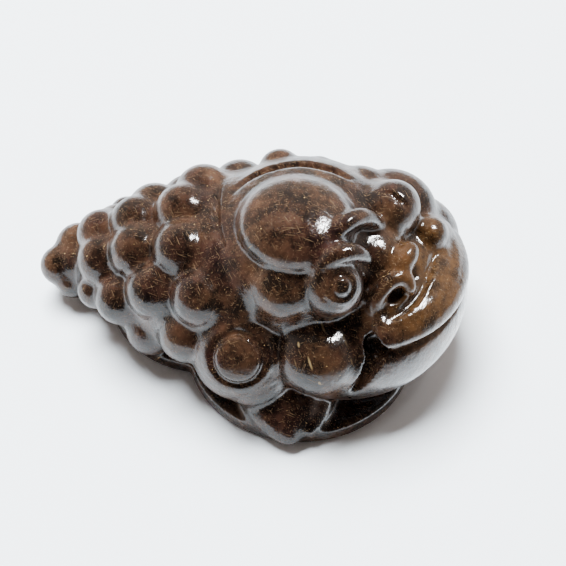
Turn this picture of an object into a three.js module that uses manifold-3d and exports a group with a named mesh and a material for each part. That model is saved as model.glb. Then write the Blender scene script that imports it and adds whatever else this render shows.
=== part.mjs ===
// A money toad carved from one piece of dark stone full of fine needles.
// It squats on two overlapping round coins, which are part of the same stone.
// Millimetres, +Z up. The toad looks along -Y, its right side is at -X.
// The body lies along Y, and the head is turned to the toad's right.
// Places are given as side (towards the toad's left), back (towards the tail) and up.
// Places on the face are given in its own turned frame, as left, forward and up.
import * as THREE from "three";
import { mergeVertices } from "three/addons/utils/BufferGeometryUtils.js";
import Module from "manifold-3d";

const wasm = await Module();
wasm.setup();

// Coin base
const coinThickness = 2.4;
const frontCoinRadius = 15.5;
const rearCoinRadius = 14.2;
const rearCoinBack = 14.7;
const rearCoinSide = 6.8;
const coinSides = 36;

// Body, a round form that shrinks from the shoulders to the tail and bends a little to the right
const bodySide = 5.4;
const shoulderBack = 6;
const bodyLength = 26.5;
const chestLength = 6;
const shoulderHalfWidth = 16.6;
const shoulderHalfHeight = 14.2;
const shoulderUp = 9.5;
const tailHalfWidth = 5.8;
const tailHalfHeight = 6;
const tailUp = 5.9;
const widthTaper = 1.84;
const heightTaper = 1.64;
const upTaper = 1.4;
const farFlank = 0.8;
const bodyBend = 1.5;
const bodyEnd = 0.35;
const bodyRings = 14;
const bodySides = 18;

// Warts in three rings over the back, each ring leaning forward down the flanks
const wartSink = 2.3;
const wartRings = [
  { start: 17, step: 28, each: 2, lean: 12, radius: 4.1 },
  { start: 23.6, step: 28.5, each: 3, lean: 11, radius: 3.9 },
  { start: 28.8, step: 37, each: 3, lean: 7, radius: 3.6 },
];
const lowWart = { spread: 7.2, back: 28.2, up: 7.6, radius: 2.7 };
const neckWarts = [
  { side: 15, back: 6.3, up: 19.2, radius: 3 },
  { side: 14.6, back: 0.9, up: 19.4, radius: 3 },
];

// Tail, the third leg tucked behind, with lobes
const tail = { side: 4, back: 32, up: 5, halfWidth: 4.6, halfLength: 5, halfHeight: 4.6 };
const tailLobes = [
  { side: 5.2, back: 33.4, up: 6.6, radius: 3.4 },
  { side: 2.4, back: 35.2, up: 4.8, radius: 2.9 },
  { side: 0.7, back: 33.2, up: 3.4, radius: 2.6 },
  { side: 2.2, back: 30.6, up: 3.2, radius: 2.8 },
  { side: 7.6, back: 34.2, up: 4.6, radius: 2.9 },
  { side: 4.6, back: 35.4, up: 3, radius: 2.4 },
];

// Head: the jaw, the hood over it and the crown dome
const headTurn = 20;
const jaw = { side: 4.4, back: -6.8, up: 8.8, halfWidth: 16.8, halfLength: 14.4, halfHeight: 9.4 };
const hood = { side: 5.1, back: 1.4, up: 16, halfWidth: 14, halfLength: 13.2, halfHeight: 9.5 };
const crown = { side: 1.7, back: 1.1, up: 24.2, halfWidth: 7.5, halfLength: 7.4, halfHeight: 3.8 };

// Masses of the face
const faceSide = 5.9;
const faceBack = 0.2;
const muzzle = { left: 3.2, forward: 10.5, up: 12.6, halfWidth: 9.5, halfLength: 7, halfHeight: 6.5 };
const bridge = { left: 0.6, forward: 8.6, up: 18, halfWidth: 5, halfLength: 5, halfHeight: 4.4 };
const nearTemple = { left: -10, forward: 2.4, up: 18.6, halfWidth: 4.8, halfLength: 5, halfHeight: 4.4 };
const farTemple = { left: 9.2, forward: 2.2, up: 17.4, halfWidth: 4.8, halfLength: 5, halfHeight: 4.4 };
const farCheek = { left: 13.2, forward: 8.8, up: 9.8, halfWidth: 6.4, halfLength: 6.6, halfHeight: 5.8 };
const socket = { spread: 7.1, forward: 6.6, up: 18.8, radius: 4.6 };
const jowl = { spread: 11.6, forward: 8.8, up: 10.6, halfWidth: 5.6, halfLength: 6, halfHeight: 5.2 };

// Eyes, each with a ring and a pupil cut into it and a lid and a bag laid round it
const nearEye = { left: -7.9, forward: 8.2, up: 20.2 };
const farEye = { left: 7.2, forward: 8, up: 19 };
const eyeRadius = 4;
const gazeOut = 0.35;
const gazeForward = 0.61;
const gazeUp = 0.72;
const eyeRingAt = 3.6;
const eyeRingRadius = 1.5;
const eyeRingThickness = 0.42;
const pupilAt = 4.2;
const pupilRadius = 0.6;

// Ridges round an eye: out from it, forward and up from its middle, and the radius of the ridge
const lidRidge = [
  [1.9, -1.4, 2.8, 0.5],
  [0.3, -0.8, 4.8, 1.2],
  [-1.9, 0.4, 5.3, 1.5],
  [-3.7, 2, 4, 1.2],
  [-4.3, 3, 2.2, 0.5],
];
const bagRidge = [
  [3.7, -1.6, -1.6, 0.5],
  [1.9, 0.9, -3.2, 0.9],
  [-1.1, 2.8, -3.2, 0.9],
  [-3.5, 3.4, -2.4, 0.5],
];

// Ridges of the face: left, forward, up and the radius of the ridge
const nearBrow = [
  [-6.8, 6.4, 25, 0.5],
  [-3.6, 6.6, 26.4, 1.2],
  [-0.4, 7.2, 26, 1.5],
  [2, 8.2, 23.6, 1.2],
  [3.4, 9.4, 20.4, 0.6],
];
const farBrow = [
  [3.2, 7, 23.4, 0.8],
  [6, 6.4, 23.2, 1.5],
  [7.8, 7.6, 23.2, 1.7],
  [8.2, 9.4, 22.4, 1.5],
  [7.8, 11, 20.4, 0.8],
];
const noseRidge = [
  [3.2, 13.2, 20.2, 1.2],
  [1.2, 13.8, 20.4, 2],
  [-1, 13.6, 19.4, 1.2],
];
const nostrilRidge = [
  [-6, 13, 15.8, 0.6],
  [-4.9, 12.8, 17.4, 0.8],
  [-3.3, 12.8, 18.6, 0.9],
  [-1.4, 13.8, 18.9, 0.9],
  [-0.6, 15, 18.2, 0.9],
  [-1.6, 15.9, 17, 0.6],
];
const nearNostril = { left: -2.9, forward: 14.3, up: 17.4, radius: 1.4 };
const farWing = { left: 8.8, forward: 12.8, up: 16.6, radius: 2.5 };

// Bumps behind the far eye
const farBumps = [
  { side: 11.4, back: -4.6, up: 19.6, radius: 2.4 },
  { side: 14, back: -8.3, up: 18.8, radius: 2.6 },
];

// Mouth, a wide arc on the front of the jaw with a thick lip over it
const mouthStart = -47;
const mouthEnd = 60;
const lipUp = 13.9;
const lipInset = 1.1;
const lipRadius = 2.7;
const lipEndRadius = 1.4;
const mouthUp = 11.2;
const mouthCutRadius = 0.55;
const mouthCornerUp = 12.4;
const mouthCornerRadius = 1.7;

// Shoulders with a swirl, and front feet that reach out on the front coin
const shoulder = { spread: 13.6, back: 6, up: 8.8, radius: 6.7 };
const swirlOut = 0.75;
const swirlForward = 0.1;
const swirlUp = 0.65;
const swirlAt = 5.6;
const swirlRadius = 3.4;
const swirlThickness = 0.5;
const footFlatness = 0.72;
const footRidge = [
  [8.4, 0.6, 5, 5],
  [11, -0.3, 4.6, 5.4],
  [13.6, -1.3, 3.6, 4.4],
  [16.6, -2.3, 2.5, 0.7],
];
const toes = 3;
const toe = { spread: 14.6, back: -3.3, up: 2.5, halfWidth: 1.5, halfLength: 1.2, halfHeight: 0.9 };
const toePitchIn = 1.5;
const toePitchForward = 0.8;

// How finely the round shapes are divided
const rough = 1;
const coarse = 2;
const medium = 3;
const fine = 4;
const beadSides = 8;
const beadRings = 6;
const tubeSides = 6;
const capRings = 2;
const ringSides = 5;
const ringSteps = 12;
const ridgeSteps = 6;
const mouthSteps = 12;
const mouthMarks = 8;

// Side of the block that cuts away what lies below the ground, well beyond the figure
const groundCut = 200;

const stoneColour = 0x4a3222;
const stoneRoughness = 0.12;

const radians = THREE.MathUtils.degToRad;
const mix = THREE.MathUtils.lerp;

function solid(geometry) {
  const bare = geometry.clone();
  bare.deleteAttribute("normal");
  bare.deleteAttribute("uv");
  const merged = mergeVertices(bare, 1e-5);
  return new wasm.Manifold(
    new wasm.Mesh({
      numProp: 3,
      vertProperties: new Float32Array(merged.attributes.position.array),
      triVerts: new Uint32Array(merged.index.array),
    }),
  );
}

function toGeometry(manifold) {
  const mesh = manifold.getMesh();
  const geometry = new THREE.BufferGeometry();
  geometry.setAttribute("position", new THREE.BufferAttribute(mesh.vertProperties, 3));
  geometry.setIndex(new THREE.BufferAttribute(mesh.triVerts, 1));
  geometry.computeVertexNormals();
  return geometry;
}

// Place from its distances to the side, to the back and up
function place({ side, back, up }) {
  return new THREE.Vector3(side, back, up);
}

// Place in the turned frame of the face: left of it, forward of it, above the ground
function face({ left, forward, up }) {
  const turn = radians(headTurn);
  return new THREE.Vector3(
    faceSide + left * Math.cos(turn) - forward * Math.sin(turn),
    faceBack - left * Math.sin(turn) - forward * Math.cos(turn),
    up,
  );
}

// Round lump with three half sizes, turned about the vertical by a number of degrees
function lump(centre, { halfWidth, halfLength, halfHeight }, turn, detail) {
  const geometry = new THREE.IcosahedronGeometry(1, detail);
  geometry.scale(halfWidth, halfLength, halfHeight);
  geometry.rotateZ(radians(-turn));
  geometry.translate(centre.x, centre.y, centre.z);
  return solid(geometry);
}

function ball(centre, radius, detail) {
  return lump(centre, { halfWidth: radius, halfLength: radius, halfHeight: radius }, 0, detail);
}

// Small round bead with few faces, for the warts and the lobes of the tail
function bead(centre, radius) {
  const geometry = new THREE.SphereGeometry(radius, beadSides, beadRings);
  geometry.translate(centre.x, centre.y, centre.z);
  return solid(geometry);
}

// Rounded bar through the points, with the radius given for each of them
function bar(points, radii, steps, flatness = 1) {
  const curve = new THREE.CatmullRomCurve3(points);
  const length = curve.getLength();
  const geometry = new THREE.CapsuleGeometry(1, length, capRings, tubeSides, steps);
  const position = geometry.attributes.position;
  const up = new THREE.Vector3(0, 0, 1);
  for (let i = 0; i < position.count; i += 1) {
    const along = position.getY(i) + length / 2;
    const share = THREE.MathUtils.clamp(along / length, 0, 1);
    const beyond = along < 0 ? along : Math.max(along - length, 0);
    const step = share * (radii.length - 1);
    const before = Math.min(Math.floor(step), radii.length - 2);
    const size = mix(radii[before], radii[before + 1], step - before);
    const tangent = curve.getTangentAt(share);
    const sideways = new THREE.Vector3().crossVectors(tangent, up).normalize();
    const rise = new THREE.Vector3().crossVectors(sideways, tangent);
    const point = curve.getPointAt(share);
    point.addScaledVector(tangent, beyond * size);
    point.addScaledVector(sideways, position.getX(i) * size);
    point.addScaledVector(rise, position.getZ(i) * size * flatness);
    position.setXYZ(i, point.x, point.y, point.z);
  }
  return solid(geometry);
}

// Ring whose axis points along the given direction
function ring(centre, axis, radius, thickness) {
  const geometry = new THREE.TorusGeometry(radius, thickness, ringSides, ringSteps);
  const turn = new THREE.Quaternion().setFromUnitVectors(new THREE.Vector3(0, 0, 1), axis);
  geometry.applyQuaternion(turn);
  geometry.translate(centre.x, centre.y, centre.z);
  return solid(geometry);
}

function union(solids) {
  return solids.reduce((whole, next) => whole.add(next));
}

function bothSides(make) {
  return union([-1, 1].map(make));
}

function coins() {
  const coin = (radius, side, back) => {
    const geometry = new THREE.CylinderGeometry(radius, radius, coinThickness, coinSides);
    geometry.rotateX(Math.PI / 2);
    geometry.translate(side, back, coinThickness / 2);
    return solid(geometry);
  };
  return union([coin(frontCoinRadius, 0, 0), coin(rearCoinRadius, rearCoinSide, rearCoinBack)]);
}

// Place on the section of the body at a distance back, by the angle from the top to the left.
// The body is fuller above its middle than below, where it tucks in over the coins.
function bodyPoint(back, angle, sink = 0, share = 1) {
  const along = THREE.MathUtils.clamp((back - shoulderBack) / bodyLength, 0, 1);
  const out = Math.sin(angle);
  const rise = Math.cos(angle);
  const halfWidth = mix(shoulderHalfWidth, tailHalfWidth, along ** widthTaper) * (out > 0 ? farFlank : 1);
  const middle = mix(shoulderUp, tailUp, along ** upTaper);
  const above = mix(shoulderHalfHeight, tailHalfHeight, along ** heightTaper);
  const reach = rise > 0 ? above : middle;
  return new THREE.Vector3(
    bodySide - bodyBend * along ** 2 + (halfWidth * share - sink) * out,
    back,
    middle + (reach * share - sink) * rise,
  );
}

function body() {
  const geometry = new THREE.SphereGeometry(1, bodySides, bodyRings);
  const position = geometry.attributes.position;
  for (let i = 0; i < position.count; i += 1) {
    const along = position.getY(i);
    const around = Math.hypot(position.getX(i), position.getZ(i));
    const angle = Math.atan2(position.getX(i), position.getZ(i));
    const behind = along > 0;
    const back = shoulderBack + along * (behind ? bodyLength : chestLength);
    const point = bodyPoint(back, angle, 0, behind ? around ** bodyEnd : around);
    position.setXYZ(i, point.x, point.y, point.z);
  }
  return solid(geometry);
}

function warts() {
  const found = neckWarts.map((wart) => bead(place(wart), wart.radius));
  for (const { start, step, each, lean, radius } of wartRings) {
    for (let k = -each; k <= each; k += 1) {
      const angle = radians(k * step);
      found.push(bead(bodyPoint(start - lean * (1 - Math.cos(angle)), angle, wartSink), radius));
    }
  }
  for (const side of [-1, 1]) {
    const { spread, back, up, radius } = lowWart;
    found.push(bead(place({ side: bodySide + side * spread, back, up }), radius));
  }
  return union(found);
}

function tailEnd() {
  return union([
    lump(place(tail), tail, 0, coarse),
    ...tailLobes.map((lobe) => bead(place(lobe), lobe.radius)),
  ]);
}

function head() {
  const masses = [
    lump(place(jaw), jaw, headTurn, fine),
    lump(place(hood), hood, headTurn, medium),
    lump(place(crown), crown, headTurn, coarse),
    lump(face(muzzle), muzzle, headTurn, coarse),
    lump(face(bridge), bridge, headTurn, coarse),
    lump(face(nearTemple), nearTemple, headTurn, coarse),
    lump(face(farTemple), farTemple, headTurn, coarse),
    lump(face(farCheek), farCheek, headTurn, coarse),
  ];
  for (const side of [-1, 1]) {
    masses.push(ball(face({ ...socket, left: side * socket.spread }), socket.radius, coarse));
    masses.push(lump(face({ ...jowl, left: side * jowl.spread }), jowl, 0, coarse));
  }
  return union(masses);
}

// Ridge through marks on the face
function faceRidge(marks) {
  const points = marks.map(([left, forward, up]) => face({ left, forward, up }));
  return bar(points, marks.map((mark) => mark[3]), ridgeSteps);
}

// Ridge through marks about an eye, given as out from it, forward and up
function eyeRidge(eye, side, marks) {
  const moved = marks.map(([out, forward, up, radius]) => [
    eye.left + side * out,
    eye.forward + forward,
    eye.up + up,
    radius,
  ]);
  return faceRidge(moved);
}

function gaze(side) {
  const look = face({ left: side * gazeOut, forward: gazeForward, up: gazeUp });
  return look.sub(face({ left: 0, forward: 0, up: 0 })).normalize();
}

function eye(middle, side) {
  return union([
    ball(face(middle), eyeRadius, medium),
    eyeRidge(middle, side, lidRidge),
    eyeRidge(middle, side, bagRidge),
  ]);
}

// Ring and pupil that are cut into an eye
function eyeCut(middle, side) {
  const ringMiddle = face(middle).addScaledVector(gaze(side), eyeRingAt);
  const pupilMiddle = face(middle).addScaledVector(gaze(side), pupilAt);
  return union([
    ring(ringMiddle, gaze(side), eyeRingRadius, eyeRingThickness),
    ball(pupilMiddle, pupilRadius, rough),
  ]);
}

function faceDetails() {
  return union([
    faceRidge(nearBrow),
    faceRidge(farBrow),
    faceRidge(noseRidge),
    faceRidge(nostrilRidge),
    ball(face(farWing), farWing.radius, coarse),
    ...farBumps.map((bump) => bead(place(bump), bump.radius)),
  ]);
}

// Place on the jaw's skin: degrees round from straight ahead to its left, the height and the inset
function jawSkin(degrees, up, inset = 0) {
  const angle = radians(degrees);
  const turn = radians(headTurn);
  const inward = Math.sqrt(1 - ((up - jaw.up) / jaw.halfHeight) ** 2);
  const left = (jaw.halfWidth * inward - inset) * Math.sin(angle);
  const forward = (jaw.halfLength * inward - inset) * Math.cos(angle);
  return new THREE.Vector3(
    jaw.side + left * Math.cos(turn) - forward * Math.sin(turn),
    jaw.back - left * Math.sin(turn) - forward * Math.cos(turn),
    up,
  );
}

// Places along the arc of the mouth
function mouthArc(up, inset) {
  const points = [];
  for (let i = 0; i <= mouthMarks; i += 1) {
    points.push(jawSkin(mix(mouthStart, mouthEnd, i / mouthMarks), up, inset));
  }
  return points;
}

function lip() {
  const points = mouthArc(lipUp, lipInset);
  const radii = points.map((point, i) => {
    const fullness = Math.sin((Math.PI * i) / (points.length - 1));
    return mix(lipEndRadius, lipRadius, fullness);
  });
  return bar(points, radii, mouthSteps);
}

// The slit of the mouth and the hollows at its two corners
function mouthCut() {
  const points = mouthArc(mouthUp, 0);
  const corners = [mouthStart, mouthEnd].map((degrees) =>
    ball(jawSkin(degrees, mouthCornerUp), mouthCornerRadius, rough),
  );
  return union([bar(points, points.map(() => mouthCutRadius), mouthSteps), ...corners]);
}

function shoulderBall(side) {
  return place({ side: bodySide + side * shoulder.spread, back: shoulder.back, up: shoulder.up });
}

// Groove turned into the shoulder as a swirl, on its upper outer side
function swirl(side) {
  const outward = new THREE.Vector3(side * swirlOut, -swirlForward, swirlUp).normalize();
  return ring(shoulderBall(side).addScaledVector(outward, swirlAt), outward, swirlRadius, swirlThickness);
}

// Foot, flattened, with a row of toes along its front edge
function foot(side) {
  const points = footRidge.map(([spread, back, up]) => {
    return place({ side: side * spread, back, up: up * footFlatness });
  });
  const solids = [bar(points, footRidge.map((mark) => mark[3]), ridgeSteps, footFlatness)];
  for (let i = 0; i < toes; i += 1) {
    const spread = side * (toe.spread - toePitchIn * i);
    const at = { side: spread, back: toe.back - toePitchForward * i, up: toe.up };
    solids.push(lump(place(at), toe, 0, rough));
  }
  return union(solids);
}

// Everything below the coins' underside is cut away, so that the toad stands flat
function belowGround() {
  const geometry = new THREE.BoxGeometry(groundCut, groundCut, groundCut);
  geometry.translate(0, 0, -groundCut / 2);
  return solid(geometry);
}

const carved = union([
  coins(),
  body(),
  warts(),
  tailEnd(),
  head(),
  eye(nearEye, -1),
  eye(farEye, 1),
  faceDetails(),
  lip(),
  bothSides((side) => ball(shoulderBall(side), shoulder.radius, medium)),
  bothSides(foot),
]).subtract(
  union([
    mouthCut(),
    eyeCut(nearEye, -1),
    eyeCut(farEye, 1),
    ball(face(nearNostril), nearNostril.radius, rough),
    bothSides(swirl),
    belowGround(),
  ]),
);

// The origin is on the ground, under the middle of the figure
const geometry = toGeometry(carved);
geometry.computeBoundingBox();
const middle = geometry.boundingBox.getCenter(new THREE.Vector3());
geometry.translate(-middle.x, -middle.y, 0);

const toad = new THREE.Mesh(
  geometry,
  new THREE.MeshStandardMaterial({ color: stoneColour, roughness: stoneRoughness, metalness: 0 }),
);
toad.name = "toad";

const figure = new THREE.Group();
figure.add(toad);

export default figure;
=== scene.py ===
# %% [markdown]
# A money toad carved from one piece of dark brown stone that is full of fine golden needles.
# It squats on two overlapping round coins cut from the same stone, and it is polished all over.
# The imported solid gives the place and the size, and this lesson carves the fine surface over it.

# %% Load the frame
import bpy
import math
from mathutils import Matrix, Vector


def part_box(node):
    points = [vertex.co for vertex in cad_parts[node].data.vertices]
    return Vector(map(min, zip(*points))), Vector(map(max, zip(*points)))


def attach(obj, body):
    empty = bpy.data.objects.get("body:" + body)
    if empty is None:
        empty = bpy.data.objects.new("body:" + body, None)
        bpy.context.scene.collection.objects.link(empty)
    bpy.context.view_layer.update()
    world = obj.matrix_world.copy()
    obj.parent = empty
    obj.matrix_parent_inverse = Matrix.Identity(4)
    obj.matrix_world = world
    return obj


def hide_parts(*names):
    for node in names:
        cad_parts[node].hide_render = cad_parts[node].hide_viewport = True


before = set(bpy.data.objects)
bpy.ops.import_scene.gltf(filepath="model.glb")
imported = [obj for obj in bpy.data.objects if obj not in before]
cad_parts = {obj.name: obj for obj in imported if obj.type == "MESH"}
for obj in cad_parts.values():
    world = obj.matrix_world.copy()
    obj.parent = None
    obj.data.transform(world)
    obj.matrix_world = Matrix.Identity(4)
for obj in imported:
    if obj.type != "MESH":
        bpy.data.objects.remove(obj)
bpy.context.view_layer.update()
low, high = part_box("toad")
low, high = Vector(low), Vector(high)
MM = 0.001
print("toad box in mm:", [round((b - a) / MM, 1) for a, b in zip(low, high)])

# %% [markdown]
# The carver's marks. Everything is placed from the middle of the front coin, because the coins
# are the only exact shapes on the piece. The face has its own turned frame, since the head looks
# to the toad's right, and pairs such as the eyes are then one call with a sign.

# %% Carver's marks
COIN = Vector((low.x + 17.244 * MM, low.y + 21.485 * MM, low.z))
FACE = Vector((5.9, 0.2, 0.0))
HEAD_TURN = math.radians(20)


def at(side, back, up):
    """Place in metres from millimetres: to the toad's left, towards the tail, above the ground."""
    return COIN + Vector((side, back, up)) * MM


def face(left, forward, up):
    """Place in the turned frame of the face, from millimetres."""
    sin, cos = math.sin(HEAD_TURN), math.cos(HEAD_TURN)
    return at(FACE.x + left * cos - forward * sin, FACE.y - left * sin - forward * cos, up)


def nothing_selected():
    bpy.ops.object.select_all(action="DESELECT")


nothing_selected()
print("front coin in mm:", [round(v / MM, 2) for v in COIN])

# %% [markdown]
# Three starting shapes do almost all of the carving. Each is a primitive, or a bevelled curve turned
# into a mesh, so all of them are closed and can be joined or cut away. The first is a lump, a round
# mass with three half sizes, as a grinding wheel leaves it. It could be sculpted, but a stretched
# sphere keeps its numbers.

# %% Helper for lumps


def lump(name, place, size, turn=0.0):
    """Ellipsoid from its half sizes in millimetres, turned about the vertical by degrees."""
    nothing_selected()
    bpy.ops.mesh.primitive_uv_sphere_add(
        segments=40, ring_count=24, radius=1, location=place,
        rotation=(0, 0, -math.radians(turn)), scale=[s * MM for s in size],
    )
    piece = bpy.context.object
    piece.name = name
    bpy.ops.object.transform_apply(location=True, rotation=True, scale=True)
    return piece


# %% [markdown]
# A bar is a tapered roll that follows a few points, for lips, lids and grooves. It starts as a
# smooth curve with a round bevel, whose radius is set at each point, and is then made a mesh.

# %% Helpers for bars


def bar(name, places, widths):
    """Roll along the places, with its radius in millimetres at each of them."""
    nothing_selected()
    line = bpy.data.curves.new(name, "CURVE")
    line.dimensions = "3D"
    line.bevel_depth = MM
    line.bevel_resolution = 5
    line.resolution_u = 10
    line.use_fill_caps = True
    spline = line.splines.new("NURBS")
    spline.points.add(len(places) - 1)
    spline.use_endpoint_u = True
    spline.order_u = 4
    for point, place, width in zip(spline.points, places, widths):
        point.co = (*place, 1)
        point.radius = width
    piece = bpy.data.objects.new(name, line)
    bpy.context.collection.objects.link(piece)
    piece.select_set(True)
    bpy.context.view_layer.objects.active = piece
    bpy.ops.object.convert(target="MESH")
    return bpy.context.object


def face_bar(name, marks):
    """Bar through marks in the frame of the face, each with its radius."""
    return bar(name, [face(*mark) for mark, _ in marks], [width for _, width in marks])


# %% [markdown]
# A ring is for grooves of even depth that run round, as on the eyes and the shoulders.

# %% Helper for rings


def ring(name, place, axis, radius, thickness):
    """Torus about an axis, with both of its radii in millimetres."""
    nothing_selected()
    turn = Vector(axis).to_track_quat("Z", "Y").to_euler()
    bpy.ops.mesh.primitive_torus_add(
        location=place, rotation=turn, major_segments=36, minor_segments=12,
        major_radius=radius * MM, minor_radius=thickness * MM,
    )
    piece = bpy.context.object
    piece.name = name
    bpy.ops.object.transform_apply(location=True, rotation=True, scale=True)
    return piece


# %% [markdown]
# Stone has no seams, so the shapes have to become one skin. A voxel remesh makes one closed surface
# of all that is joined, and a few rounds of smoothing then do what the polishing felt does.

# %% Helpers that make one skin


def join(name, pieces):
    nothing_selected()
    for piece in pieces:
        piece.select_set(True)
    bpy.context.view_layer.objects.active = pieces[0]
    bpy.ops.object.join()
    pieces[0].name = name
    return pieces[0]


def apply(piece, kind, **settings):
    nothing_selected()
    piece.select_set(True)
    bpy.context.view_layer.objects.active = piece
    modifier = piece.modifiers.new(kind.title(), kind)
    for key, value in settings.items():
        setattr(modifier, key, value)
    bpy.ops.object.modifier_apply(modifier=modifier.name)


def one_skin(piece, cell, rounds=0):
    """Closed skin of cells of a size in millimetres, smoothed by a number of rounds."""
    apply(piece, "REMESH", mode="VOXEL", voxel_size=cell * MM)
    if rounds:
        apply(piece, "SMOOTH", factor=0.5, iterations=rounds)


def mix(a, b, share):
    return a + (b - a) * share


# %% [markdown]
# The base: a front coin and a rear coin, a little askew, with a straight rim. Each starts as a
# cylinder primitive, and its edges are broken by a small bevel as the polishing wheel does.

# %% Coins
COIN_THICKNESS = 2.4
COIN_EDGE = 0.25
COINS = {"front": (15.5, 0, 0), "rear": (14.2, 6.8, 14.7)}


def coin(name, radius, side, back):
    nothing_selected()
    bpy.ops.mesh.primitive_cylinder_add(
        vertices=96, radius=radius * MM, depth=COIN_THICKNESS * MM,
        location=at(side, back, COIN_THICKNESS / 2),
    )
    piece = bpy.context.object
    piece.name = name
    bpy.ops.object.transform_apply(location=True, rotation=True, scale=True)
    bpy.ops.object.mode_set(mode="EDIT")
    bpy.ops.mesh.select_all(action="SELECT")
    bpy.ops.mesh.bevel(offset=COIN_EDGE * MM, segments=2, affect="EDGES")
    bpy.ops.object.mode_set(mode="OBJECT")
    return piece


parts = [coin(f"{name}_coin", *numbers) for name, numbers in COINS.items()]
print("coins:", len(parts))

# %% [markdown]
# The body shrinks from the shoulders to the tail and bends a little to the toad's right. It starts
# as a sphere primitive, whose points are then pushed to the section of the body at their place.
# Below its middle the section reaches just to the ground, and the flank away from the photograph's
# side is a little narrower.

# %% Body
BODY_SIDE = 5.4
SHOULDER_BACK = 6
BODY_LENGTH = 26.5
SHOULDER = (16.6, 14.2, 9.5)
TAIL = (5.8, 6.0, 5.9)
TAPER = (1.84, 1.64, 1.4)
FAR_FLANK = 0.8
BODY_BEND = 1.5
CHEST_DEPTH = 6
BLUNT_END = 0.35


def section(back):
    """Half width, half height and middle height of the body at a place along it."""
    share = min(max((back - SHOULDER_BACK) / BODY_LENGTH, 0), 1)
    return [mix(a, b, share ** t) for a, b, t in zip(SHOULDER, TAIL, TAPER)]


def on_body(back, angle, sink=0.0, share=1.0):
    """Place on the section of the body, by the angle from the top towards the toad's left."""
    wide, above, up = section(back)
    out, rise = math.sin(angle), math.cos(angle)
    wide = wide * (FAR_FLANK if out > 0 else 1)
    tall = above if rise > 0 else up
    bend = BODY_BEND * (max(back - SHOULDER_BACK, 0) / BODY_LENGTH) ** 2
    side = BODY_SIDE - bend + (wide * share - sink) * out
    return at(side, back, up + (tall * share - sink) * rise)


nothing_selected()
bpy.ops.mesh.primitive_uv_sphere_add(segments=64, ring_count=48, radius=1)
body = bpy.context.object
body.name = "body"
for point in body.data.vertices:
    x, y, z = point.co
    angle = math.atan2(x, y)
    back = SHOULDER_BACK + z * (BODY_LENGTH if z > 0 else CHEST_DEPTH)
    point.co = on_body(back, angle, 0, math.hypot(x, y) ** (BLUNT_END if z > 0 else 1))
parts.append(body)
print("body length in mm:", BODY_LENGTH)

# %% [markdown]
# Warts sit in three rings across the back. Each ring leans forward as it goes down the flanks, as
# the rows on the stone do, and the far side repeats the near one, sunk a little deeper where the
# outline in the photograph asks for it. Single warts fill the gaps at the tail and at the neck.

# %% Warts
WART_SINK = 2.3
WART_RINGS = (
    {"start": 17.0, "step": 28, "each": 2, "lean": 12, "radius": 4.1, "far_sink": 0},
    {"start": 23.6, "step": 28.5, "each": 3, "lean": 11, "radius": 3.9, "far_sink": 0.5},
    {"start": 28.8, "step": 37, "each": 3, "lean": 7, "radius": 3.6, "far_sink": 1.1},
)
NEAR_AND_FAR = (-1, 1)
LOW_WART, LOW_WART_RADIUS = (7.2, 28.2, 7.6), 2.7
NECK_WARTS, NECK_WART_RADIUS = ((15, 6.3, 19.2), (14.6, 0.9, 19.4)), 3

for row in WART_RINGS:
    for k in range(-row["each"], row["each"] + 1):
        angle = math.radians(k * row["step"])
        back = row["start"] - row["lean"] * (1 - math.cos(angle))
        sink = WART_SINK + (row["far_sink"] if k > 0 else 0)
        parts.append(lump("wart", on_body(back, angle, sink), [row["radius"]] * 3))
for side in NEAR_AND_FAR:
    place = at(BODY_SIDE + side * LOW_WART[0], *LOW_WART[1:])
    parts.append(lump("low_wart", place, [LOW_WART_RADIUS] * 3))
for place in NECK_WARTS:
    parts.append(lump("neck_wart", at(*place), [NECK_WART_RADIUS] * 3))
print("pieces so far:", len(parts))

# %% [markdown]
# The third leg is tucked behind as a lump with small lobes. It is the toad's tail end.

# %% Tail
TAIL_LOBES = (
    (6.1, 33.4, 6.6, 3.4), (3.2, 35.4, 5.2, 2.9), (1.9, 33.2, 3.8, 2.5),
    (3.2, 30.6, 3.4, 2.7), (8.2, 34.2, 4.6, 2.9), (5.4, 35.4, 3, 2.4),
)
parts.append(lump("tail", at(4.8, 32, 5), (4.6, 5, 4.6)))
for side, back, up, radius in TAIL_LOBES:
    parts.append(lump("lobe", at(side, back, up), [radius] * 3))
print("tail lobes:", len(TAIL_LOBES))

# %% [markdown]
# The body, its warts and the tail are made one skin and smoothed, so that the valleys between the
# warts are soft, as the polishing leaves them. The coins stay out of it and keep their edges.

# %% Skin of the back
SOFT_CELL, SOFT_ROUNDS = 0.35, 8
coins, back_parts = parts[:len(COINS)], parts[len(COINS):]
back_skin = join("back_skin", back_parts)
one_skin(back_skin, SOFT_CELL, SOFT_ROUNDS)
parts = [*coins, back_skin]
print("skin of the back:", len(back_skin.data.polygons), "faces")

# %% [markdown]
# The head is a broad jaw with a smooth hood over it, a crown dome on the hood, and a muzzle. It
# also takes what flows into it softly: the sockets, the jowls, the temples, and on the far side the
# cheek, the lid and the wing of the nose. All of these become one skin, as on the back.

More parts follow.
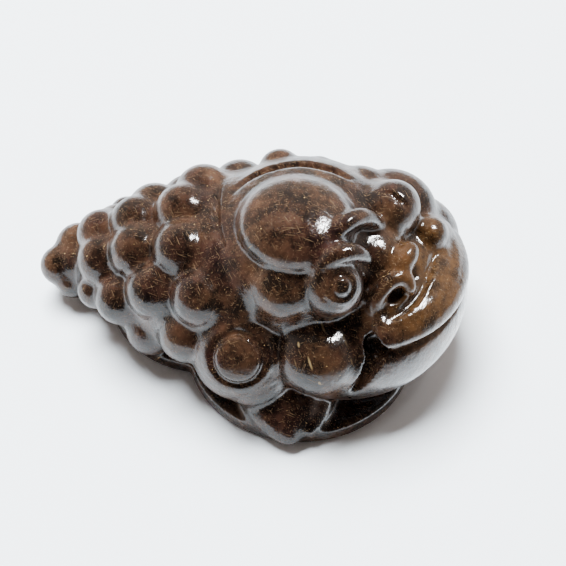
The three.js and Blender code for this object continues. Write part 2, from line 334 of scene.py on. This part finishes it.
# %% Head
HEAD = (4.4, -6.8, 8.8)
HEAD_SIZE = (16.8, 14.4, 9.4)
turn = math.degrees(HEAD_TURN)
FAR_CURL = (((8, 13.2, 17.4), 1.4), ((10.4, 13.6, 16.4), 1.9), ((12.6, 13, 14.2), 1.9))
head = [
    lump("jaw", at(*HEAD), HEAD_SIZE, turn),
    lump("hood", at(5.1, 1.4, 16), (14, 13.2, 9.5), turn),
    lump("muzzle", face(3.2, 10.5, 12.6), (9.5, 7, 6.5), turn),
    lump("crown", at(1.7, 1.1, 24), (7.6, 7.5, 3.8), turn),
    lump("bridge", face(0.6, 8.6, 18), (5, 5, 4.4), turn),
    lump("far_lid", face(6.9, 8, 20.6), (4.6, 3.9, 3.9), turn),
    lump("far_wing", face(9, 12.9, 16.6), (3, 2.7, 2.8), turn),
    face_bar("far_curl", FAR_CURL),
]
for side in NEAR_AND_FAR:
    head.append(lump("socket", face(side * 7.1, 6.6, 18.8), (4.6, 4.6, 4.6), turn))
    head.append(lump("jowl", face(side * 11.6, 8.8, 10.6), (5.6, 6, 5.2)))
head.append(lump("temple", face(-10, 2.4, 18.6), (4.8, 5, 4.4), turn))
head.append(lump("far_temple", face(9.2, 2.2, 17.4), (4.8, 5, 4.4), turn))
head.append(lump("far_cheek", face(12.9, 8.8, 10.4), (6.3, 6.5, 5.8)))
head.append(lump("far_slope", face(12.2, 6, 15.6), (5, 6, 5), turn))
head = join("head", head)
one_skin(head, SOFT_CELL, SOFT_ROUNDS)
parts.append(head)
print("head:", len(head.data.polygons), "faces")

# %% [markdown]
# The eyes look outward under a thick lid. Two rings and a pupil are cut into each of them later, so
# these three wait in a list of their own. The lid, the bag below the eye, the brow and the nostril's
# wing are rolls, laid where the photograph shows their ridges.

# %% Eyes
EYES = (((-7.9, 8.2, 20.2), (-0.35, 0.61, 0.72)), ((7.8, 7.4, 18.4), (0.85, 0.2, 0.3)))
EYE_RADIUS, PUPIL_RADIUS, PUPIL_OUT = 4, 0.6, 4.2
EYE_RINGS = ((3.6, 1.5, 0.42), (3.05, 2.6, 0.28))
eye_cuts = []
for middle, look in EYES:
    eye = face(*middle)
    gaze = (face(*look) - face(0, 0, 0)).normalized()
    parts.append(lump("eye", eye, [EYE_RADIUS] * 3))
    for out, radius, thickness in EYE_RINGS:
        eye_cuts.append(ring("eye_ring_cut", eye + gaze * out * MM, gaze, radius, thickness))
    eye_cuts.append(lump("pupil_cut", eye + gaze * PUPIL_OUT * MM, [PUPIL_RADIUS] * 3))
print("cuts kept for the eyes:", len(eye_cuts))

# %% Rolls of the face
FACE_ROLLS = {
    "lid": (((-9.8, 6.8, 23), 0.5), ((-8.2, 7.4, 25), 1.2), ((-6, 8.6, 25.5), 1.5),
            ((-4.2, 10.2, 24.2), 1.2), ((-3.6, 11.2, 22.4), 0.5)),
    "bag": (((-11.6, 6.6, 18.6), 0.5), ((-9.8, 9.1, 17), 0.9), ((-6.8, 11, 17), 0.9),
            ((-4.4, 11.6, 17.8), 0.5)),
    "brow": (((-6.8, 6.4, 25), 0.5), ((-3.6, 6.6, 26.4), 1.2), ((-0.4, 7.2, 26), 1.5),
             ((2, 8.2, 23.6), 1.2), ((3.4, 9.4, 20.4), 0.6)),
    "nose": (((3.2, 13.2, 20.2), 1.2), ((1.2, 13.8, 20.4), 2), ((-1, 13.6, 19.4), 1.2)),
    "nostril_wing": (((-6.2, 13.2, 16.4), 0.7), ((-5.2, 13.2, 18), 1.1), ((-3.5, 13.2, 19.2), 1.3),
                     ((-1.4, 14, 19.5), 1.3), ((-0.6, 15.2, 18.8), 1.3), ((-1.6, 16.2, 17.6), 0.8)),
}

for name, marks in FACE_ROLLS.items():
    parts.append(face_bar(name, marks))
parts.append(lump("far_bump", at(11.4, -4.6, 19.6), (2.6, 2.6, 2)))
parts.append(lump("far_bump", at(14, -8.3, 18.8), (2.8, 2.8, 2.2)))
print("rolls of the face:", len(FACE_ROLLS))

# %% [markdown]
# The shoulders are round knobs, each with a forearm in front of it, and the front feet reach out on
# to the front coin. A foot is a bar that runs out to a point like a leaf, pressed flat by moving its
# points down, with a thin sole in front of it.

# %% Shoulders and feet
SHOULDER_KNOB, KNOB_RADIUS = (13.6, 6, 8.8), 6.7
FOOT_FLAT = 0.62
FOOT = ((8.4, 0.6, 5), (11, -0.3, 4.6), (13.6, -1.3, 3.6), (16.6, -2.3, 2.5))
FOOT_WIDTHS = (5, 6.8, 5.6, 0.7)
SOLE = ((8.6, -4.6, 2.4), (12, -5, 2.6), (15, -4, 2.2))
SOLE_WIDTHS = (2.2, 2.3, 0.9)


def knob_place(side):
    return at(BODY_SIDE + side * SHOULDER_KNOB[0], *SHOULDER_KNOB[1:])


for side in NEAR_AND_FAR:
    parts.append(lump("shoulder", knob_place(side), [KNOB_RADIUS] * 3))
    leaf = bar("foot", [at(side * s, b, u) for s, b, u in FOOT], FOOT_WIDTHS)
    for point in leaf.data.vertices:
        point.co.z = COIN.z + (point.co.z - COIN.z) * FOOT_FLAT
    parts.append(leaf)
    parts.append(bar("sole", [at(side * s, b, u) for s, b, u in SOLE], SOLE_WIDTHS))
    parts.append(lump("forearm", at(BODY_SIDE + side * 15.2, 3.8, 6.4), (4.8, 4.9, 4)))
print("pieces so far:", len(parts))

# %% [markdown]
# The upper lip is a broad band that stands out from the jaw and runs from one corner of the mouth
# to the other. Four rolls are laid round the jaw, one above the other, and become one skin, so
# that they read as one soft slab and not as four ridges.

# %% Lip


def jaw_skin(degrees, up, inset=0.0):
    """Point on the jaw's skin: degrees round from straight ahead to its left, and the height."""
    angle = math.radians(degrees)
    inward = math.sqrt(1 - ((up - HEAD[2]) / HEAD_SIZE[2]) ** 2)
    left = (HEAD_SIZE[0] * inward - inset) * math.sin(angle)
    forward = (HEAD_SIZE[1] * inward - inset) * math.cos(angle)
    sin, cos = math.sin(HEAD_TURN), math.cos(HEAD_TURN)
    return at(HEAD[0] + left * cos - forward * sin, HEAD[1] - left * sin - forward * cos, up)


STEPS = 8
MOUTH = [(mix(-45, 59, i / STEPS), mix(13.8, 11.6, i / STEPS)) for i in range(STEPS + 1)]
LIP_ROLLS = ((0.6, -0.8, 0.9), (1.2, -0.6, 1.3), (1.9, -0.2, 1.6), (2.7, 0.5, 1.8))
LIP_CELL, LIP_ROUNDS = 0.25, 10
lip = []
for rise, inset, width in LIP_ROLLS:
    widths = [width * mix(0.7, 1, math.sin(math.pi * i / STEPS)) for i in range(STEPS + 1)]
    places = [jaw_skin(a, up + rise, inset + 0.03 * i) for i, (a, up) in enumerate(MOUTH)]
    lip.append(bar("lip_roll", places, widths))
lip = join("lip", lip)
one_skin(lip, LIP_CELL, LIP_ROUNDS)
parts.append(lip)
print("lip:", len(lip.data.polygons), "faces")

# %% [markdown]
# One skin. The coins, the back, the head and all the rolls are joined and remeshed into one closed
# surface, then smoothed, which rounds the valleys as polishing does.

# %% One skin
toad = join("carved_toad", parts)
one_skin(toad, 0.28, 3)
print("skin faces:", len(toad.data.polygons))

# %% [markdown]
# The cuts. The slit of the mouth with its corners, the nostril, the rings of the eyes, the swirls on
# the shoulders and the fine grooves beside the jowl, the crown, the hood, the lip and the far lid
# are made as bars, lumps and rings too. They become one cutter.

# %% Cutter
GROOVES = {
    "jowl_cut": (((-8.2, 15, 13.8), 1.4), ((-9.2, 15.3, 12.6), 1.3), ((-10.6, 15.6, 11.2), 1),
                 ((-12, 15.2, 9.8), 0.8), ((-13.2, 14.8, 8.6), 0.5)),
    "collar_cut": (((-3.9, -9.5, 22.9), 0.2), ((-2, -9.9, 22.9), 0.5), ((-0.1, -9.3, 23.2), 0.7),
                   ((1.7, -8.1, 23.6), 0.8), ((3.2, -6.7, 24), 0.8), ((5, -4.8, 24), 0.8),
                   ((5.9, -2.2, 24.1), 0.8), ((6.6, 0.4, 23.8), 0.7), ((6.4, 2.4, 23.6), 0.3)),
    "hood_cut": (((-1.1, -13.2, 21.4), 0.2), ((-4.3, -11.7, 22.1), 0.5), ((-7.4, -10, 22.1), 0.6),
                 ((-9.7, -7.8, 21.8), 0.5), ((-11.2, -5.8, 21.5), 0.3)),
    "lip_top_cut": (((-6.6, 15.4, 16.6), 0.3), ((-5.7, 15.9, 16.6), 0.5), ((-3.7, 16.5, 16.7), 0.6),
                    ((-1.4, 16.9, 16.9), 0.6), ((1.1, 16.8, 17.1), 0.6), ((4.1, 16, 16.9), 0.5),
                    ((6.5, 15.2, 16.8), 0.3)),
    "lid_fold_cut": (((6, 6, 24.7), 0.3), ((6.5, 8.6, 24.7), 0.5), ((6.3, 10.8, 22.9), 0.3)),
}
SWIRL_LOOK = (0.75, -0.1, 0.65)
SWIRLS = ((5.6, 3.4, 0.5), (4.5, 5.1, 0.25))
MOUTH_SLIT = 0.6
slit = [jaw_skin(a, up - 0.4, -0.2) for a, up in MOUTH]
cuts = [bar("mouth_cut", slit, [MOUTH_SLIT] * len(MOUTH))]
cuts.append(lump("corner_cut", face(-8.3, 15.1, 13.5), (2, 1.7, 1.7), -40))
cuts.append(lump("corner_cut", jaw_skin(*MOUTH[-1], 0.3), (0.9, 0.8, 0.8), 40))
cuts.append(lump("nostril_cut", face(-2.9, 14.6, 17.8), (1.6, 0.9, 0.9), 20))
cuts += eye_cuts
cuts += [face_bar(name, marks) for name, marks in GROOVES.items()]
for side in NEAR_AND_FAR:
    outward = Vector((side * SWIRL_LOOK[0], *SWIRL_LOOK[1:])).normalized()
    for out, radius, thickness in SWIRLS:
        middle = knob_place(side) + outward * out * MM
        cuts.append(ring("swirl_cut", middle, outward, radius, thickness))
print("cuts:", len(cuts))
cutter = join("cutter", cuts)
one_skin(cutter, 0.12)

# %% [markdown]
# Carving. A boolean takes the cutter away, as a thin wheel does, and then whatever is under the
# ground, so that the coins stand flat. Remeshing and smoothing soften the new edges. A decimate and
# a last skin of slightly larger cells keep the piece light enough for a library.

# %% Carving
MOST_TRIANGLES = 190000
nothing_selected()
bpy.ops.mesh.primitive_cube_add(size=0.1, location=(0, 0, low.z - 0.05))
for tool in (cutter, bpy.context.object):
    apply(toad, "BOOLEAN", operation="DIFFERENCE", object=tool, solver="EXACT")
    bpy.data.objects.remove(tool)
one_skin(toad, 0.22, 3)
triangles = 2 * len(toad.data.polygons)
apply(toad, "DECIMATE", ratio=min(1, MOST_TRIANGLES / triangles))
one_skin(toad, 0.3, 2)
nothing_selected()
toad.select_set(True)
bpy.context.view_layer.objects.active = toad
bpy.ops.object.shade_smooth()
print("carved:", triangles, "triangles, then", 2 * len(toad.data.polygons))

# %% [markdown]
# The stone's look is built from shader nodes. A few short helpers make a node, set or link its
# inputs and hand back its result, so that each later line reads as one step of the recipe.

# %% Helpers for shader nodes


def node(tree, kind, inputs, **settings):
    """New node with its settings; an input is a constant or another node's output."""
    made = tree.nodes.new("ShaderNode" + kind)
    for key, value in settings.items():
        setattr(made, key, value)
    for key, value in inputs.items():
        if isinstance(value, bpy.types.NodeSocket):
            tree.links.new(value, made.inputs[key])
        else:
            made.inputs[key].default_value = value
    return made


def noise(tree, coords, scale, detail, roughness=0.5):
    inputs = {"Vector": coords, "Scale": scale, "Detail": detail, "Roughness": roughness}
    return node(tree, "TexNoise", inputs).outputs["Fac"]


def ramp(tree, value, *stops):
    """Colour by the value, from two stops of position and colour."""
    made = node(tree, "ValToRGB", {"Fac": value})
    for element, (position, colour) in zip(made.color_ramp.elements, stops):
        element.position = position
        element.color = (*colour, 1)
    return made.outputs["Color"]


# %% [markdown]
# The rest is arithmetic on those values: to map a range, to multiply, to measure a distance from a
# place or along an axis, and to blend two colours.

# %% Helpers for values and colours


def mapped(tree, value, begin, end, first=0, last=1, kind="LINEAR"):
    """The value, taken from begin and end to first and last."""
    inputs = {"Value": value, "From Min": begin, "From Max": end, "To Min": first, "To Max": last}
    return node(tree, "MapRange", inputs, interpolation_type=kind).outputs["Result"]


def product(tree, a, b):
    return node(tree, "Math", {0: a, 1: b}, operation="MULTIPLY").outputs["Value"]


def away_from(tree, coords, place):
    return node(tree, "VectorMath", {0: coords, 1: place}, operation="DISTANCE").outputs["Value"]


def along(tree, coords, axis):
    return node(tree, "VectorMath", {0: coords, 1: axis}, operation="DOT_PRODUCT").outputs["Value"]


def blend(tree, share, a, b, kind="MIX"):
    inputs = {"Factor": share, "A": a, "B": b}
    return node(tree, "Mix", inputs, data_type="RGBA", blend_type=kind).outputs["Result"]


# %% [markdown]
# The stone is full of fine golden needles that cross in every direction. Each family of needles is
# a field of cells stretched along one direction and cut down to their middles, so that it reads as
# threads inside the stone. One bundle of brighter streaks shows only on the near jowl.

# %% Needles
FINE, GOLD, STREAK = (0.1, 0.062, 0.034, 1), (0.34, 0.22, 0.1, 1), (0.4, 0.27, 0.13, 1)
STREAKS_AT = face(-14.3, 10.8, 14.7)
STREAKS_TURN = Vector((2.45, 1.77, 2.4)).to_track_quat("Z", "Y").to_euler()
STREAKS_END, STREAKS_FULL = 5 * MM, 3 * MM
NEEDLES = (
    ((0.3, 0.5, 0.2), 0.24, 5, 0.22, FINE), ((1.2, 0.4, 2.1), 0.28, 4, 0.22, FINE),
    ((-0.9, 1.1, 0.6), 0.32, 6, 0.2, FINE), ((0.6, -1.3, 1.4), 0.26, 5, 0.22, FINE),
    ((1.5, 0.2, 0.1), 0.36, 7, 0.18, FINE), ((0.1, 1.4, 0.9), 0.3, 5, 0.2, FINE),
    ((0.5, -0.35, 0.3), 1.1, 14, 0.08, GOLD), ((-0.7, 0.2, 1.1), 1.3, 12, 0.07, GOLD),
    (STREAKS_TURN, 1.1, 24, 0.2, STREAK),
)
THREAD_CORE = 0.4


def needles(tree, coords, turn_by, width, length, radius):
    """Strength of a family of threads, from the size of its cells in millimetres."""
    size = (width * MM, width * MM, length * MM)
    inputs = {"Vector": coords, "Rotation": turn_by, "Scale": size}
    stretched = node(tree, "Mapping", inputs, vector_type="TEXTURE").outputs["Vector"]
    cells = node(tree, "TexVoronoi", {"Vector": stretched, "Scale": 1, "Randomness": 1})
    thread = mapped(tree, cells.outputs["Distance"], radius, radius * THREAD_CORE)
    return product(tree, thread, cells.outputs["Color"])


def with_needles(tree, coords, colour):
    for turn_by, width, length, radius, tint in NEEDLES:
        thread = needles(tree, coords, turn_by, width, length, radius)
        if tint is STREAK:
            away = away_from(tree, coords, STREAKS_AT)
            thread = product(tree, thread, mapped(tree, away, STREAKS_END, STREAKS_FULL))
        colour = blend(tree, thread, colour, tint)
    return colour


print("families of needles:", len(NEEDLES))

# %% [markdown]
# The ground colour is dark brown in clouds, and its hue drifts slowly over the piece. Round the
# front of the lip the stone is a warmer gold, as a lighter vein comes to the surface there.

# %% Colour of the stone
CLOUDS, DRIFT = (300, 12, 0.72), (130, 3)
DARK, BROWN = (0.42, (0.0048, 0.0031, 0.0025)), (0.7, (0.052, 0.027, 0.0165))
COOL, WARM = (0.35, (0.55, 0.42, 0.5)), (0.65, (1.3, 1.15, 0.95))
DEEP_AMBER, AMBER = (0.38, (0.014, 0.0062, 0.0024)), (0.66, (0.095, 0.042, 0.0135))
AMBER_AT = face(3.5, 17.5, 14)
AMBER_END, AMBER_FULL, AMBER_SHARE = 12 * MM, 6 * MM, 0.85


def stone_colour(tree, coords):
    clouds = noise(tree, coords, *CLOUDS)
    hue = ramp(tree, noise(tree, coords, *DRIFT), COOL, WARM)
    colour = blend(tree, 1, ramp(tree, clouds, DARK, BROWN), hue, "MULTIPLY")
    away = away_from(tree, coords, AMBER_AT)
    share = mapped(tree, away, AMBER_END, AMBER_FULL, 0, AMBER_SHARE, "SMOOTHSTEP")
    return blend(tree, share, colour, ramp(tree, clouds, DEEP_AMBER, AMBER))


print("warmest at, in mm:", [round(v / MM, 1) for v in AMBER_AT])

# %% [markdown]
# The polish isn't quite even: fine waves left by the felt break up the reflections, and they soften
# towards grazing angles, where the real stone shows a satin edge and not a mirror.

# %% Polish and material
POLISH = (900, 9)
ROUGHNESS = (0.06, 0.16)
EDGE_BLEND, EDGE_ROUGHNESS = 0.4, 0.3
WAVES = {"Strength": 0.5, "Distance": 0.2 * MM}


def needle_stone():
    stone = bpy.data.materials.new("needle_stone")
    stone.use_nodes = True
    tree = stone.node_tree
    shader = tree.nodes["Principled BSDF"]
    shader.inputs["IOR"].default_value = 1.4
    coords = node(tree, "TexCoord", {}).outputs["Object"]
    colour = with_needles(tree, coords, stone_colour(tree, coords))
    tree.links.new(colour, shader.inputs["Base Color"])
    polish = noise(tree, coords, *POLISH)
    gloss = mapped(tree, polish, 0.3, 0.7, *ROUGHNESS)
    edge = node(tree, "LayerWeight", {"Blend": EDGE_BLEND}).outputs["Facing"]
    worn = node(tree, "Math", {0: edge, 1: EDGE_ROUGHNESS, 2: gloss}, operation="MULTIPLY_ADD")
    tree.links.new(worn.outputs["Value"], shader.inputs["Roughness"])
    waves = node(tree, "Bump", {"Height": polish, **WAVES})
    tree.links.new(waves.outputs["Normal"], shader.inputs["Normal"])
    print("nodes in the stone:", len(tree.nodes))
    return stone


toad.data.materials.clear()
toad.data.materials.append(needle_stone())
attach(toad, "root")
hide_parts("toad")

# %% [markdown]
# A plain pale floor, as a sheet of card in a studio. It is only staging and no part of the piece.

# %% Floor
nothing_selected()
bpy.ops.mesh.primitive_plane_add(size=3, location=(0, 0, low.z))
floor = bpy.context.object
floor.name = "floor"
pale = bpy.data.materials.new("pale_floor")
pale.use_nodes = True
pale.node_tree.nodes["Principled BSDF"].inputs["Base Color"].default_value = (0.9, 0.92, 0.96, 1)
pale.node_tree.nodes["Principled BSDF"].inputs["Roughness"].default_value = 0.9
floor.data.materials.append(pale)
print("floor at a height of", round(floor.location.z / MM, 2), "mm")

# %% [markdown]
# The photograph looks down steeply from the toad's right, so the camera stands there. Its place,
# its direction and its focal length in pixels were solved from marks on the photograph.

# %% Camera
CAMERA_AZIMUTH = math.radians(-77)
CAMERA_ELEVATION = math.radians(50)
CAMERA_PLACE = (-112.8, -23.6, 151.8)
SENSOR_MM, IMAGE_PIXELS, FOCAL_PIXELS = 36, 566, 1370.25
right = Vector((math.cos(CAMERA_AZIMUTH), math.sin(CAMERA_AZIMUTH), 0))
back = Vector((
    math.sin(CAMERA_AZIMUTH) * math.cos(CAMERA_ELEVATION),
    -math.cos(CAMERA_AZIMUTH) * math.cos(CAMERA_ELEVATION),
    math.sin(CAMERA_ELEVATION),
))
upward = back.cross(right)
lens = bpy.data.cameras.new("camera")
lens.sensor_width = SENSOR_MM
lens.lens = SENSOR_MM * FOCAL_PIXELS / IMAGE_PIXELS
lens.clip_start = 0.01
camera = bpy.data.objects.new("camera", lens)
bpy.context.collection.objects.link(camera)
facing = Matrix((right, upward, back)).transposed().to_4x4()
camera.matrix_world = Matrix.Translation(at(*CAMERA_PLACE)) @ facing
bpy.context.scene.camera = camera
print("focal length in mm:", round(lens.lens, 1))

# %% [markdown]
# A soft lamp from above gives the even light of the photograph, and a small window lamp gives the
# bright spots on the polish. A dim card before the chin is seen only as the pale reflection there.

# %% Lamps


def lamp(name, towards, distance, size, power, colour=(1, 1, 1)):
    light = bpy.data.lights.new(name, "AREA")
    light.shape = "RECTANGLE"
    light.size = size
    light.size_y = size * 0.8
    light.energy = power
    light.color = colour
    thing = bpy.data.objects.new(name, light)
    bpy.context.collection.objects.link(thing)
    direction = Vector(towards).normalized()
    thing.location = direction * distance
    thing.rotation_euler = direction.to_track_quat("Z", "Y").to_euler()
    return thing


window_side = right * 0.45 - Vector((back.x, back.y, 0)) * 0.35 + Vector((0, 0, 0.8))
window = lamp("window", window_side, 0.9, 0.1, 24)
window.visible_diffuse = False
soft = lamp("soft", (0.35, 0.3, 1), 1.2, 0.8, 100, (0.9, 0.97, 1))
soft.visible_glossy = False
card = lamp("card", (0, 0, 1), 0, 0.05, 0.04, (0.82, 0.92, 1))
card.location = at(-2, -37, 0.2)
card.rotation_euler = (math.pi, 0, 0)
card.visible_diffuse = False
card.visible_camera = False
print("lamps:", [thing.name for thing in (window, soft, card)])

# %% [markdown]
# The studio round the piece is a dim, warm room. It is darkest overhead and on the camera's side,
# so that the polish reflects dark there and the stone keeps its depth.

# %% Room
world = bpy.data.worlds.new("studio")
world.use_nodes = True
sky = world.node_tree
ROOM_TOP, ROOM_TOP_ENDS, ROOM_LIGHT = (-0.41, -0.095, 0.906), (0.3, 0.85), (1.2, 0.08)
NEAR_SIDE, NEAR_ENDS, NEAR_DIM = (-0.97, -0.22, 0), (-0.1, 0.6), (1, 0.3)
direction = node(sky, "TexCoord", {}).outputs["Generated"]
height = mapped(sky, along(sky, direction, ROOM_TOP), *ROOM_TOP_ENDS, *ROOM_LIGHT, "SMOOTHSTEP")
dim = mapped(sky, along(sky, direction, NEAR_SIDE), *NEAR_ENDS, *NEAR_DIM)
room = sky.nodes["Background"]
room.inputs["Color"].default_value = (1, 0.85, 0.75, 1)
sky.links.new(product(sky, height, dim), room.inputs["Strength"])
bpy.context.scene.world = world
print("nodes in the room:", len(sky.nodes))
